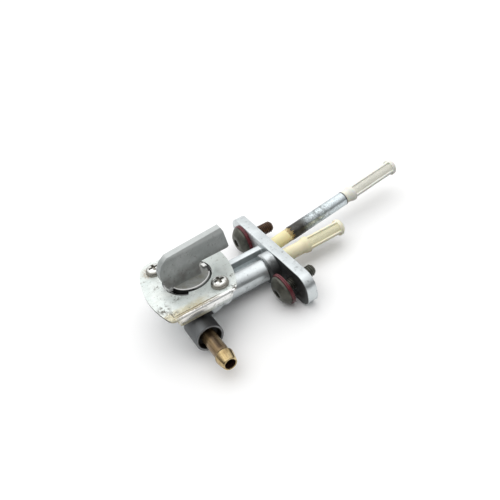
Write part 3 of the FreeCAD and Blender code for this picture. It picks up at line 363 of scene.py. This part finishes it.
def plate_zinc():
    """Zinc-plated steel, mottled, with brown dirt along the fold and at the corner, a painted
    highlight on the fold's bend, and painted shade right of the lever, down the cut edge and round
    the lever's hub.
    """
    n = Nodes("plate_zinc")
    x, y, z = n.axis("x"), n.axis("y"), n.axis("z")
    cloud, blotch, grit = n.noise(0.10, 5.0, 0.65), n.noise(0.42, 6.0, 0.7), n.noise(1.3, 5.0, 0.7)
    tone = n.ramp(cloud, (0.34, (0.70, 0.77, 0.745)), (0.5, (0.82, 0.87, 0.845)),
                  (0.68, (0.89, 0.92, 0.885)))
    # Painted shade on the plate to the right of the lever
    shade_right_of_lever = n.math("MULTIPLY", n.band(x, -42.0, 0.0, 9.0), n.band(y, -14.0, 40.0, 5.0))
    tone = n.mix(n.math("MULTIPLY", shade_right_of_lever, 0.55), tone, (0.44, 0.48, 0.46))
    mottle = n.ramp(blotch, (0.42, 0.0), (0.68, 1.0))
    tone = n.mix(n.math("MULTIPLY", mottle, 0.34), tone, (0.50, 0.53, 0.49))
    # Yellowed strip on the near side, widest at the left
    wander = n.math("MULTIPLY", n.math("SUBTRACT", n.noise(0.30, 4.0, 0.6), 0.5), 4.0)
    strip = n.band(n.math("ADD", y, wander), -24.0, -16.5, 1.6)
    strip = n.math("MULTIPLY", strip, n.band(x, -72.0, -47.0, 4.0))
    strip = n.math("MULTIPLY", strip, n.ramp(grit, (0.30, 0.35), (0.60, 1.0)))
    tone = n.mix(n.math("MULTIPLY", strip, 0.78), tone, (0.58, 0.49, 0.25))
    # Painted highlight where the fold bends over and down the lip, with chips below it
    bend = n.math("MULTIPLY", n.band(y, -30.0, -20.7, 0.15), n.band(z, 10.6, 14.5, 0.6))
    bend = n.math("MULTIPLY", bend, n.band(x, -61.0, -20.0, 2.0))
    tone = n.mix(n.math("MULTIPLY", bend, 0.85), tone, (0.97, 0.97, 0.95))
    chips = n.math("MULTIPLY", n.band(z, 9.0, 11.6, 0.3), n.ramp(blotch, (0.55, 0.0), (0.62, 1.0)))
    tone = n.mix(n.math("MULTIPLY", chips, 0.75), tone, (0.12, 0.11, 0.10))
    # Two brown lines of dirt in the fold
    slope = n.math("MULTIPLY_ADD", x, 0.02, 0.95)
    thin = n.math("MULTIPLY", n.math("SUBTRACT", n.noise(0.55, 4.0, 0.6), 0.5), 1.2)
    line = n.math("ADD", n.math("ADD", y, slope), thin)
    crease = n.math("MAXIMUM", n.band(line, -20.25, -19.7, 0.25),
                    n.math("MULTIPLY", n.band(line, -21.2, -20.7, 0.25), 0.85))
    crease = n.math("MULTIPLY", crease, n.band(x, -62.0, -41.0, 2.5))
    tone = n.mix(n.math("MULTIPLY", crease, 0.95), tone, (0.16, 0.105, 0.035))
    # Rust round the rear screw
    rust = n.math("MULTIPLY", n.spot((-59.0, 15.0, PLATE_TOP), 5.5, 0.75),
                  n.ramp(n.noise(0.8, 5.0, 0.7), (0.40, 0.0), (0.56, 1.0)))
    tone = n.mix(n.math("MULTIPLY", rust, 0.85), tone, (0.34, 0.21, 0.08))
    # Smudges of black dirt, and dark specks
    smear = n.noise(0.6, 6.0, 0.75, stretch=(1.0, 0.6, 1.0))
    dirt_and_shade = crease
    for along, across, radius, least in ((-64.2, -12.6, 4.2, 0.46), (-62.4, -18.4, 4.4, 0.47),
                                         (-56.4, -9.6, 2.4, 0.50), (-61.0, 1.6, 4.0, 0.56),
                                         (-33.2, -20.5, 4.6, 0.50), (-30.2, -12.0, 3.4, 0.52)):
        smudge = n.math("MULTIPLY", n.spot((along, across, PLATE_TOP), radius, 0.8),
                        n.ramp(smear, (least, 0.0), (least + 0.07, 1.0)))
        dirt_and_shade = n.math("MAXIMUM", dirt_and_shade, smudge)
        tone = n.mix(n.math("MULTIPLY", smudge, 0.9), tone, (0.075, 0.065, 0.045))
    specks = n.ramp(n.noise(0.6, 6.0, 0.78), (0.585, 0.0), (0.65, 1.0))
    tone = n.mix(n.math("MULTIPLY", specks, 0.75), tone, (0.15, 0.14, 0.11))
    # Painted shade down the cut edge, and in the slot and hole round the lever's hub
    rim = n.math("MULTIPLY", n.band(z, 12.0, 13.62, 0.08), n.band(y, -20.6, 30.0, 0.4))
    tone = n.mix(n.math("MULTIPLY", rim, 0.9), tone, (0.10, 0.092, 0.075))
    shaded_well = n.math("MULTIPLY", n.band(n.away(x, y, HUB), -1.0, 13.3, 0.1),
                  n.band(z, 6.0, 13.72, 0.06))
    tone = n.mix(shaded_well, tone, (0.012, 0.012, 0.011))
    # The dirt and the painted shade on the edge and round the hub are not metallic
    dirt_and_shade = n.math("MAXIMUM", n.math("MAXIMUM", dirt_and_shade, rim), shaded_well)
    n.set(colour=tone, metal=n.mix(dirt_and_shade, n.ramp(bend, (0.0, 0.40), (1.0, 0.9)), (0.0, 0.0, 0.0)),
          rough=n.mix(bend, n.ramp(cloud, (0.3, 0.36), (0.7, 0.52)), (0.34, 0.34, 0.34)),
          normal=n.bump(n.noise(0.3, 5.0, 0.6), 0.35, 0.12, n.bump(grit, 0.3, 0.03)))
    return n.material


def lever_metal():
    """Die-cast zinc, matt grey, darker and browner low on the blade, with painted shade on the
    hub's top and in the gap below its rim, and painted highlights on the blade's top edge, the
    hub's front rim and the stop lug.
    """
    n = Nodes("lever_metal")
    x, y, z = n.axis("x"), n.axis("y"), n.axis("z")
    cloud, grit = n.noise(0.16, 5.0, 0.62), n.noise(1.5, 5.0, 0.7)
    tone = n.ramp(cloud, (0.3, (0.31, 0.335, 0.33)), (0.55, (0.40, 0.425, 0.42)),
                  (0.75, (0.50, 0.525, 0.52)))
    # Darker and browner low on the blade
    low = n.math("MULTIPLY", n.band(z, 14.9, 21.5, 3.0),
                 n.ramp(n.noise(0.22, 4.0), (0.35, 0.25), (0.6, 1.0)))
    tone = n.mix(n.math("MULTIPLY", low, 0.7), tone, (0.17, 0.15, 0.14))
    # Painted shade on the hub's top, yellowish and patchy, under the blade
    hub_top_shade = n.ramp(n.noise(0.35, 5.0, 0.7), (0.42, 0.15), (0.6, 0.75))
    tone = n.mix(n.math("MULTIPLY", n.band(z, 14.2, 14.85, 0.08), hub_top_shade), tone,
                 (0.24, 0.235, 0.19))
    specks = n.ramp(n.noise(0.65, 6.0, 0.78), (0.58, 0.0), (0.64, 1.0))
    tone = n.mix(n.math("MULTIPLY", specks, 0.65), tone, (0.12, 0.11, 0.10))
    # Painted highlight along the blade's top edge
    top = n.band(z, 29.6, 40.0, 0.9)
    tone = n.mix(n.math("MULTIPLY", top, 0.6), tone, (0.66, 0.69, 0.68))
    # Painted shade in the gap below the hub's rim, less dark at the front, and a painted highlight
    # along the hub's front rim
    lighter_front = n.math("MULTIPLY", n.band(x, -47.0, -30.0, 1.5), n.band(y, -30.0, -4.0, 1.0))
    wall = n.mix(lighter_front, (0.012, 0.012, 0.011), (0.30, 0.31, 0.30))
    tone = n.mix(n.band(z, -20.0, 14.3, 0.06), tone, wall)
    from_hub = n.away(x, y, HUB)
    # Painted highlight along the hub's front rim
    glint = n.math("MULTIPLY", n.band(from_hub, 9.3, 12.0, 0.1), n.band(z, 14.3, 14.9, 0.06))
    glint = n.math("MULTIPLY", glint, n.band(y, -30.0, -1.5, 1.5))
    tone = n.mix(n.math("MULTIPLY", glint, 0.92), tone, (0.93, 0.93, 0.92))
    # Painted glint on the stop lug
    lug = n.math("MULTIPLY", n.band(from_hub, 10.3, 20.0, 0.2), n.band(z, 13.4, 15.4, 0.2))
    tone = n.mix(n.math("MULTIPLY", lug, 0.85), tone, (0.84, 0.85, 0.84))
    n.set(colour=tone, metal=0.15, rough=0.46,
          normal=n.bump(grit, 0.25, 0.04, n.bump(cloud, 0.2, 0.2)))
    return n.material


def zinc_screw():
    """Zinc-plated screw, grimy, with painted shade down in its slot and under its head."""
    n = Nodes("zinc_screw")
    z = n.axis("z")
    grime = n.ramp(n.noise(0.7, 5.0, 0.7), (0.50, 0.0), (0.66, 1.0))
    # Painted shade down in the slot and under the head
    recess_shade = n.math("MULTIPLY", n.band(z, 10.0, 15.9, 0.3), 0.8)
    tone = n.mix(n.math("MAXIMUM", n.math("MULTIPLY", grime, 0.7), recess_shade),
                 (0.80, 0.81, 0.78), (0.16, 0.14, 0.11))
    n.set(colour=tone, metal=0.9, rough=n.ramp(grime, (0.0, 0.24), (1.0, 0.5)),
          normal=n.bump(n.noise(1.8, 3.0), 0.2, 0.03))
    return n.material


def old_brass():
    """Tarnished brass: brown shank with darker streaks along it, cleaner on the head, with a
    painted dark reflection along the shank's top and painted shade in the bore.
    """
    n = Nodes("old_brass")
    x, y, z = n.axis("x"), n.axis("y"), n.axis("z")
    cloud = n.noise(0.3, 5.0, 0.6)
    tone = n.ramp(cloud, (0.3, (0.36, 0.26, 0.12)), (0.5, (0.52, 0.40, 0.21)),
                  (0.72, (0.74, 0.62, 0.38)))
    shank = n.band(y, -39.9, 0.0, 0.35)
    tone = n.mix(n.math("MULTIPLY", shank, 0.72), tone, (0.16, 0.095, 0.05))
    streaks = n.ramp(n.noise(0.55, 4.0, 0.6, stretch=(1.0, 0.12, 1.0)), (0.46, 0.0), (0.60, 1.0))
    tone = n.mix(n.math("MULTIPLY", streaks, 0.55), tone, (0.12, 0.07, 0.035))
    # A painted dark reflection along the top of the shank
    top = n.math("MULTIPLY", n.band(x, -53.3, -51.1, 0.7), n.band(z, 2.0, 9.0, 0.5))
    top = n.math("MULTIPLY", top, n.band(y, -39.0, 0.0, 1.2))
    tone = n.mix(n.math("MULTIPLY", top, 0.75), tone, (0.035, 0.02, 0.012))
    # Painted shade inside the bore
    bore = n.math("MULTIPLY", n.band(n.away(x, z, OUTLET.xz), -1.0, 2.62, 0.05),
                  n.band(y, -46.0, 0.0, 0.2))
    tone = n.mix(bore, tone, (0.10, 0.045, 0.035))
    lathe = n.noise(2.4, 2.0, 0.5, stretch=(0.05, 1.0, 0.05))
    n.set(colour=tone, metal=n.ramp(n.math("MAXIMUM", shank, bore), (0.0, 1.0), (1.0, 0.7)),
          rough=n.ramp(cloud, (0.3, 0.24), (0.7, 0.16)), normal=n.bump(lathe, 0.12, 0.02))
    return n.material


def black_oxide(name, rust):
    """Black oxide finish, with brown rust on the thread."""
    n = Nodes(name)
    x = n.axis("x")
    cloud = n.noise(0.35, 5.0, 0.6)
    tone = n.ramp(cloud, (0.3, (0.06, 0.06, 0.05)), (0.7, (0.135, 0.135, 0.11)))
    stain = n.ramp(n.noise(0.8, 5.0, 0.7), (0.36, 0.0), (0.6, 1.0))
    on_thread = n.band(x, 0.0, 40.0, 1.0)
    rusty = n.mix(stain, (0.05, 0.03, 0.02), (0.14, 0.075, 0.042))
    tone = n.mix(n.math("MULTIPLY", on_thread, rust), tone, rusty)
    n.set(colour=tone, metal=0.55, rough=n.ramp(cloud, (0.3, 0.38), (0.7, 0.52)),
          normal=n.bump(n.noise(2.5, 3.0), 0.2, 0.03))
    return n.material


def red_fibre():
    """Dark red washer fibre, slightly glossy."""
    n = Nodes("red_fibre")
    cloud = n.noise(0.5, 5.0, 0.65)
    tone = n.ramp(cloud, (0.3, (0.08, 0.010, 0.015)), (0.7, (0.175, 0.023, 0.032)))
    n.set(colour=tone, rough=0.35, normal=n.bump(n.noise(2.0, 3.0), 0.15, 0.03))
    return n.material


def cream_plastic(name, near, far, pale_from, burnt):
    """Moulded plastic, yellower near the flange, with painted light making it paler towards its
    end.
    """
    n = Nodes(name)
    x = n.axis("x")
    cloud = n.noise(0.14, 4.0, 0.55)
    shade_by = tuple(c * 0.93 for c in near)
    tone = n.mix(n.ramp(cloud, (0.3, 0.0), (0.7, 1.0)), shade_by, near)
    # Painted light: paler towards the far end
    pale = n.band(x, pale_from, 200.0, 9.0)
    tone = n.mix(pale, tone, far)
    stain = n.math("MULTIPLY", n.ramp(n.noise(0.5, 5.0, 0.7), (0.58, 0.0), (0.74, 1.0)), 0.4)
    tone = n.mix(stain, tone, (0.50, 0.33, 0.13))
    ragged = n.math("MULTIPLY", n.math("SUBTRACT", n.noise(0.4, 5.0, 0.7), 0.5), 9.0)
    burn = n.math("MULTIPLY", n.band(n.math("ADD", x, ragged), 11.2, 18.0, 0.8), burnt)
    tone = n.mix(n.math("MULTIPLY", burn, 0.85), tone, (0.30, 0.19, 0.06))
    n.set(colour=tone, rough=0.42, subsurface=0.12, subsurface_scale=0.002,
          normal=n.bump(n.noise(1.2, 3.0), 0.12, 0.03))
    return n.material


def stained_sleeve():
    """Thin metal, speckled dull, burnt black at the flange end and dark at the other rim."""
    n = Nodes("stained_sleeve")
    x = n.axis("x")
    grit = n.noise(1.9, 6.0, 0.75)
    speck = n.ramp(grit, (0.42, 0.0), (0.60, 1.0))
    tone = n.mix(n.math("MULTIPLY", speck, 0.7), (0.76, 0.84, 0.87), (0.38, 0.41, 0.415))
    patch = n.math("MULTIPLY", n.ramp(n.noise(0.55, 5.0, 0.75), (0.44, 0.0), (0.58, 1.0)),
                   n.band(x, 0.0, 38.0, 6.0))
    tone = n.mix(n.math("MULTIPLY", patch, 0.75), tone, (0.17, 0.185, 0.19))
    ragged = n.math("MULTIPLY", n.math("SUBTRACT", n.noise(0.28, 5.0, 0.7), 0.5), 14.0)
    burnt = n.band(n.math("ADD", x, ragged), 0.0, 23.0, 4.0)
    tone = n.mix(n.math("MULTIPLY", burnt, 0.94), tone, (0.04, 0.034, 0.028))
    along = n.math("MULTIPLY_ADD", n.math("ADD", n.axis("y"), n.axis("z")),
                   math.sin(MAIN_LEAN) / math.sqrt(2), n.math("MULTIPLY", x, math.cos(MAIN_LEAN)))
    rim = n.band(along, 49.25, 60.0, 0.15)
    tone = n.mix(n.math("MULTIPLY", rim, 0.88), tone, (0.045, 0.04, 0.035))
    n.set(colour=tone, metal=0.8, rough=n.ramp(speck, (0.0, 0.28), (1.0, 0.5)),
          normal=n.bump(grit, 0.45, 0.06))
    return n.material


def plain(name, colour, metal, rough, darker=0.75):
    """One even finish, a little mottled towards a darker tone."""
    n = Nodes(name)
    cloud = n.noise(0.4, 4.0)
    dark = tuple(c * darker for c in colour)
    n.set(colour=n.mix(cloud, dark, colour), metal=metal, rough=rough,
          normal=n.bump(n.noise(2.0, 3.0), 0.15, 0.03))
    return n.material


FINISHES = {
    "body": cast_metal(), "plate": plate_zinc(), "lever": lever_metal(),
    "screw": zinc_screw(), "brass": old_brass(),
    "bolt_upper": black_oxide("black_oxide_upper", rust=0.95),
    "bolt_lower": black_oxide("black_oxide_lower", rust=0.0),
    "red": red_fibre(), "sleeve": stained_sleeve(),
    "cream": cream_plastic("cream_plastic", (0.96, 0.86, 0.50), (0.97, 0.96, 0.88),
                           pale_from=46.0, burnt=1.0),
    "cream_reserve": cream_plastic("cream_plastic_aged", (0.96, 0.87, 0.60),
                                   (0.98, 0.94, 0.74), pale_from=20.0, burnt=0.0),
    "nylon": plain("nylon_mesh", (0.98, 0.97, 0.88), 0.0, 0.5, darker=0.96),
    "nylon_aged": plain("nylon_mesh_aged", (0.98, 0.94, 0.70), 0.0, 0.5, darker=0.94),
    "rubber": plain("black_rubber", (0.03, 0.03, 0.03), 0.0, 0.6),
    # Pale finish for painted glints on the lever's hub pads
    "glint": plain("glint_zinc", (0.86, 0.87, 0.85), 0.6, 0.3),
    "spring": plain("spring_steel", (0.5, 0.5, 0.5), 0.9, 0.35),
    "pipe": plain("pipe_metal", (0.55, 0.56, 0.56), 0.8, 0.4),
}


# Pieces

def thread(bm, start, long, steps=26):
    """A helical ridge round the X axis, fading out towards its far end."""
    fixed = set(bm.verts)
    low = ROOT - 0.12
    verts, edges = chain(bm, [(start, low, 0), (start + PITCH * 0.42, CREST, 0),
                              (start + PITCH * 0.56, CREST, 0), (start + PITCH * 0.98, low, 0)],
                         closed=True)
    end_face = bm.faces.new(verts)
    turns = (long - PITCH) / PITCH
    bmesh.ops.spin(bm, geom=[end_face] + edges + verts, cent=(0, 0, 0), axis=(1, 0, 0),
                   dvec=(PITCH / steps, 0, 0), angle=turns * ACROSS, steps=round(turns * steps),
                   use_merge=False, use_duplicate=False)
    for vert in set(bm.verts) - fixed:
        into = min((start + long - vert.co.x) / (PITCH * 1.1), (vert.co.x - start) / PITCH + 0.4,
                   1.0)
        flat = vert.co.yz
        reach = low + (flat.length - low) * max(into, 0.0)
        vert.co.yz = flat.normalized() * reach


def hex_socket(bm, across, deep):
    """Closes the round rim of a bolt's face with a hexagon socket cut into it."""
    lead_in = 0.15
    edges = [e for e in bm.edges if e.is_boundary]
    for down in (0.0, lead_in, deep - lead_in):
        made = bmesh.ops.extrude_edge_only(bm, edges=edges)
        verts = [g for g in made["geom"] if isinstance(g, bmesh.types.BMVert)]
        edges = [g for g in made["geom"] if isinstance(g, bmesh.types.BMEdge) and g.is_boundary]
        for vert in verts:
            from_flat = math.atan2(vert.co.z, vert.co.y) % (math.pi / 3) - math.pi / 6
            reach = (across / 2 + (0.0 if down else lead_in)) / math.cos(from_flat)
            vert.co.yz = vert.co.yz.normalized() * reach
        bmesh.ops.translate(bm, vec=(down, 0, 0), verts=verts)
    bmesh.ops.contextual_create(bm, geom=edges)


def flange_bolt(name, under, place):
    """M6 button-head screw: domed head, hexagon socket and a full thread, made along +X."""
    bm = bmesh.new()
    head, flat, tip = 7.25, 3.7, 18.0
    profile = rounded([(-3.6, flat), (-3.4, flat + 0.9), (-2.3, 6.0), (-1.05, head), (0.0, head),
                       (0.0, CREST), (1.1, CREST), (1.5, ROOT), (tip - 0.8, ROOT), (tip, 1.8),
                       (tip, 0)], {1: 0.6, 2: 1.2, 3: 0.45, 4: 0.12, 9: 0.2})
    turn(bm, profile, 48)
    hex_socket(bm, across=4.0, deep=2.2)
    thread(bm, start=1.2, long=tip - 1.5)
    set_down(bm, place @ Matrix.Translation((under, 0, 0)))
    return mesh_object(f"{name}_shown", bm)


def fibre_washer(name, start, place):
    """Flat washer with worn, rounded edges."""
    bm = bmesh.new()
    hole, rim, end = 3.2, 7.9, start + WASHER_THICK
    profile = rounded([(start, hole), (start, rim), (end, rim), (end, hole)],
                      {0: 0.12, 1: 0.3, 2: 0.3, 3: 0.12})
    turn(bm, profile, 72, closed=True)
    set_down(bm, place)
    return mesh_object(f"{name}_shown", bm)


def hose_barb():
    """Turned barb: long shank, low shoulder near the tip, land and a short cone."""
    bm = bmesh.new()
    bore, shank, land, tip = 2.5, 3.5, 4.2, 33.0
    profile = rounded([(0, bore), (0, shank), (26.6, shank), (27.3, land), (28.4, land),
                       (32.1, 3.45), (tip, 3.1), (tip, bore)],
                      {2: 0.3, 3: 0.3, 4: 0.9, 5: 0.6, 6: 0.35, 7: 0.2})
    turn(bm, profile, 96, closed=True)
    to_near_side = Matrix.Rotation(-math.pi / 2, 4, "Z")
    set_down(bm, Matrix.Translation((OUTLET.x, BARB_ROOT, OUTLET.z)) @ to_near_side)
    return mesh_object("outlet_barb_shown", bm)


def windows(cage_from, end):
    """Where the windows of a strainer's cage start and end along it."""
    return cage_from + 3.6, end - 2.8


def strainer(name, place, cage_from, end):
    """Moulded tube that widens into a ribbed cage with an open inside, made along +X."""
    bm = bmesh.new()
    tube, bore, cage, inner, cap, rib = 3.4, 2.35, 4.2, 3.0, 1.2, 1.2
    cone = cage_from + 2.0
    low, high = windows(cage_from, end)
    profile = rounded([(0.4, bore), (0.4, tube), (cage_from, tube), (cone, cage), (low, cage),
                       (low, inner), (cone + 0.4, inner), (cage_from + 0.4, bore)],
                      {0: 0.2, 1: 0.25, 2: 0.8, 3: 0.8, 4: 0.15, 5: 0.15})
    turn(bm, profile, 64, closed=True)
    turn(bm, rounded([(high, inner), (high, cage), (end - cap, cage), (end, cage - cap), (end, 0),
                      (end - cap, 0), (end - cap, inner)],
                     {0: 0.15, 1: 0.15, 2: 0.5, 3: 0.5}), 64)
    for _ in range(4):
        made = bmesh.ops.create_cube(bm, size=1.0)
        verts = made["verts"]
        bmesh.ops.scale(bm, vec=(high - low + 0.4, cage - inner - 0.06, rib), verts=verts)
        bmesh.ops.translate(bm, vec=((high + low) / 2, (cage + inner) / 2, 0), verts=verts)
        edges = list({e for v in verts for e in v.link_edges})
        bmesh.ops.bevel(bm, geom=edges, offset=0.14, offset_type="OFFSET", segments=2,
                        affect="EDGES", profile=0.5, material=-1)
        bmesh.ops.rotate(bm, cent=(0, 0, 0), matrix=Matrix.Rotation(math.pi / 2, 3, "X"),
                         verts=bm.verts)
    set_down(bm, place)
    return mesh_object(f"{name}_shown", bm)


def strainer_mesh(name, place, cage_from, end):
    """Woven mesh behind a cage's windows: wires that pass over and under each other."""
    bm = bmesh.new()
    pitch, radius, around, over = 0.62, 3.3, 36, 0.3
    low, high = windows(cage_from, end)
    low, high = low - over, high + over
    rows = round((high - low) / pitch)
    verts, edges = chain(bm, [(low + (high - low) * k / rows, radius, 0)
                              for k in range(rows + 1)])
    bmesh.ops.spin(bm, geom=verts + edges, cent=(0, 0, 0), axis=(1, 0, 0), angle=ACROSS,
                   steps=around, use_merge=True, use_duplicate=False)
    bmesh.ops.remove_doubles(bm, verts=bm.verts, dist=0.01)
    for vert in bm.verts:
        row = round((vert.co.x - low) / (high - low) * rows)
        spoke = round(math.atan2(vert.co.z, vert.co.y) / ACROSS * around)
        vert.co.yz *= 1 + (0.015 if (row + spoke) % 2 else -0.015)
    bmesh.ops.wireframe(bm, faces=bm.faces, thickness=0.16, use_replace=True, use_boundary=True,
                        use_even_offset=True)
    turn(bm, [(low, 3.26), (high, 3.26), (high, 3.14), (low, 3.14)], 64, closed=True)
    set_down(bm, place)
    return mesh_object(f"{name}_mesh", bm)


def tube_sleeve(place):
    """Thin metal sleeve with a ragged, burnt end next to the flange."""
    bm = bmesh.new()
    start, end, inner, outer = 13.0, 49.5, 3.45, 3.65
    profile = rounded([(start, inner), (start, outer), (start + 2.6, outer), (start + 5.0, outer),
                       (end - 0.9, outer), (end - 0.5, outer + 0.09), (end, outer + 0.05),
                       (end, inner), (start + 2.6, inner)],
                      {0: 0.06, 1: 0.06, 6: 0.1, 7: 0.06})
    turn(bm, profile, 120, closed=True)
    for vert in bm.verts:
        if vert.co.x < start + 0.5:
            angle = math.atan2(vert.co.z, vert.co.y)
            tear = abs(math.sin(angle * 4.5 + 0.7)) * abs(math.sin(angle * 11 + 2.1))
            vert.co.x += 2.1 * tear
            vert.co.yz *= 1 + 0.02 * math.sin(angle * 9)
    set_down(bm, place)
    return mesh_object("strainer_sleeve_shown", bm)


def hub_pads():
    """Two low pads on the lever's hub, beyond the ends of the blade."""
    bm = bmesh.new()
    for angle in (6, 187):
        made = bmesh.ops.create_cube(bm, size=1.0)["verts"]
        bmesh.ops.scale(bm, vec=(1.9, 2.9, 0.9), verts=made)
        edges = list({e for v in made for e in v.link_edges})
        bmesh.ops.bevel(bm, geom=edges, offset=0.3, offset_type="OFFSET", segments=3,
                        affect="EDGES", profile=0.5, material=-1)
        # The bevel makes new corners, so the pad is picked up again, still at the origin
        made = [v for v in bm.verts if v.co.length < 3]
        bmesh.ops.translate(bm, vec=(8.5, 0, PLATE_TOP + 0.95), verts=made)
        bmesh.ops.rotate(bm, cent=(0, 0, 0), verts=made,
                         matrix=Matrix.Rotation(math.radians(angle), 3, "Z"))
    set_down(bm, Matrix.Translation((HUB.x, HUB.y, 0)))
    return mesh_object("lever_hub_pads", bm)


# Where the two strainers and the two bolts stand
MAIN = along_pipe(MAIN_PIPE, MAIN_LEAN)
RESERVE = along_pipe(RESERVE_PIPE)
UPPER = Matrix.Translation((0, BOLT_SPACING / 2, 0))
# The lower screw hangs askew in its hole, with its head down
LOWER = (Matrix.Translation((-FLANGE_THICK / 2, -BOLT_SPACING / 2, LOWER_BOLT_LIFT))
         @ Matrix.Rotation(math.radians(-LOWER_BOLT_HANG), 4, "Y")
         @ Matrix.Rotation(math.radians(LOWER_BOLT_SWING), 4, "Z")
         @ Matrix.Translation((FLANGE_THICK / 2 + LOWER_BOLT_IN, 0, 0)))

take_over(softened("valve_body", 0.35), "valve_body", "housing", FINISHES["body"])
take_over(softened("face_plate", 0.3, reshape=near_lip_deeper), "face_plate", "housing",
          FINISHES["plate"])
take_over(softened("lever", 0.35, 3, reshape=fitted_lever), "lever", "knob",
          FINISHES["lever"])
# The pads show painted glints in their pale finish
take_over(hub_pads(), "lever", "knob", FINISHES["glint"])
for side in ("front", "rear"):
    take_over(softened(f"face_screw_{side}", 0.12), f"face_screw_{side}", "housing",
              FINISHES["screw"])
take_over(hose_barb(), "outlet_barb", "housing", FINISHES["brass"])
# Each bolt's place, and where along it its two washers end
BOLTS = (("upper", UPPER, -FLANGE_THICK), ("lower", LOWER, -FLANGE_THICK - LOWER_BACKED_OUT))
for side, place, seat in BOLTS:
    take_over(flange_bolt(f"flange_bolt_{side}", seat - 2 * WASHER_THICK, place),
              f"flange_bolt_{side}", "housing", FINISHES[f"bolt_{side}"])
for side, place, seat in BOLTS:
    for node, start in ((f"bolt_washer_{side}_inner", seat - WASHER_THICK),
                        (f"bolt_washer_{side}_outer", seat - 2 * WASHER_THICK)):
        take_over(fibre_washer(node, start, place), node, "housing", FINISHES["red"])
# Each strainer's place, where its cage starts and ends along it, and its two finishes
STRAINERS = (("main_strainer", MAIN, 52.0, 85.0, "cream", "nylon"),
             ("reserve_strainer", RESERVE, 12.0, 36.5, "cream_reserve", "nylon_aged"))
for name, place, cage_from, end, moulded, _ in STRAINERS:
    take_over(strainer(name, place, cage_from, end), name, "housing", FINISHES[moulded])
for name, place, cage_from, end, _, woven in STRAINERS:
    take_over(strainer_mesh(name, place, cage_from, end), name, "housing", FINISHES[woven])
take_over(tube_sleeve(MAIN), "strainer_sleeve", "housing", FINISHES["sleeve"])

# These CAD pieces show as they are, in their finishes
for node, metal in (("valve_packing", "rubber"), ("lever_seal", "rubber"),
                    ("flange_seal", "rubber"), ("wave_washer", "spring"),
                    ("main_standpipe", "pipe"), ("reserve_standpipe", "pipe")):
    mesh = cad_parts[node].data
    mesh.materials.clear()
    mesh.materials.append(FINISHES[metal])


# Floor, light and camera

FLOOR_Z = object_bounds()[0][2]


def floor():
    """White floor: its lit parts show as white, and its shadows stay."""
    bm = bmesh.new()
    bmesh.ops.create_grid(bm, x_segments=1, y_segments=1, size=2000.0)
    bmesh.ops.translate(bm, vec=(0, 0, FLOOR_Z / MM - 0.02), verts=bm.verts)
    piece = mesh_object("floor", bm)
    n = Nodes("floor_white")
    tree = n.tree
    path = n.add("ShaderNodeLightPath")
    n.set(colour=(0.34, 0.34, 0.34, 1), rough=0.9, specular=0.1)
    shown = n.add("ShaderNodeBsdfDiffuse", {"Color": (1.0, 1.0, 1.0, 1)})
    seen = n.math("MAXIMUM", path.outputs["Is Camera Ray"], path.outputs["Is Glossy Ray"])
    seen = n.math("MAXIMUM", seen, path.outputs["Is Transmission Ray"])
    choose = n.add("ShaderNodeMixShader", {"Fac": seen})
    tree.links.new(n.shader.outputs[0], choose.inputs[1])
    tree.links.new(shown.outputs[0], choose.inputs[2])
    tree.links.new(choose.outputs[0], tree.nodes["Material Output"].inputs["Surface"])
    piece.data.materials.append(n.material)


def high_lamp():
    """One broad soft lamp, high up and a little behind the tap."""
    light = bpy.data.lights.new("key", "SUN")
    light.angle = math.radians(75)
    light.energy = 0.68
    item = bpy.data.objects.new("key", light)
    bpy.context.scene.collection.objects.link(item)
    item.rotation_euler = Vector((0.08, -0.27, -0.96)).to_track_quat("-Z", "Y").to_euler()


def world_light():
    """Studio tent: bright behind and above the tap, dim on the open side in front."""
    world = bpy.data.worlds.new("studio")
    bpy.context.scene.world = world
    world.use_nodes = True
    tree = world.node_tree
    back = tree.nodes["Background"]
    back.inputs["Color"].default_value = (1, 1, 1, 1)
    way = tree.nodes.new("ShaderNodeTexCoord")
    lean = tree.nodes.new("ShaderNodeVectorMath")
    lean.operation = "DOT_PRODUCT"
    lean.inputs[1].default_value = Vector((0.08, 0.34, 0.937))
    tree.links.new(way.outputs["Generated"], lean.inputs[0])
    fade = tree.nodes.new("ShaderNodeMapRange")
    fade.interpolation_type = "SMOOTHSTEP"
    for socket, level in (("From Min", -0.12), ("From Max", 0.8), ("To Min", 0.03),
                          ("To Max", 1.12)):
        fade.inputs[socket].default_value = level
    tree.links.new(lean.outputs["Value"], fade.inputs["Value"])
    tree.links.new(fade.outputs[0], back.inputs["Strength"])
    white = tree.nodes.new("ShaderNodeBackground")
    white.inputs["Color"].default_value = (1, 1, 1, 1)
    white.inputs["Strength"].default_value = 1.0
    path = tree.nodes.new("ShaderNodeLightPath")
    choose = tree.nodes.new("ShaderNodeMixShader")
    tree.links.new(path.outputs["Is Camera Ray"], choose.inputs[0])
    tree.links.new(back.outputs[0], choose.inputs[1])
    tree.links.new(white.outputs[0], choose.inputs[2])
    tree.links.new(choose.outputs[0], tree.nodes["World Output"].inputs["Surface"])


def camera():
    """The photograph's view, from a fit to the tap's known places."""
    turned = Matrix(((0.8457, -0.5042, -0.1750), (-0.4409, -0.4752, -0.7615),
                     (0.3008, 0.7211, -0.6241)))
    shifted = Vector((13.11, 2.36, 295.79))
    flip = Matrix.Diagonal((1, -1, -1))
    to_world = (flip @ turned).transposed()
    lens = bpy.data.cameras.new("photo_view")
    lens.sensor_width = 36
    lens.lens = 43.2
    lens.clip_start = 0.01
    lens.clip_end = 20
    item = bpy.data.objects.new("photo_view", lens)
    bpy.context.scene.collection.objects.link(item)
    item.matrix_world = (Matrix.Translation(-(turned.transposed() @ shifted) * MM)
                         @ to_world.to_4x4())
    bpy.context.scene.camera = item


floor()
world_light()
high_lamp()
camera()
bpy.context.scene.view_settings.view_transform = "Standard"
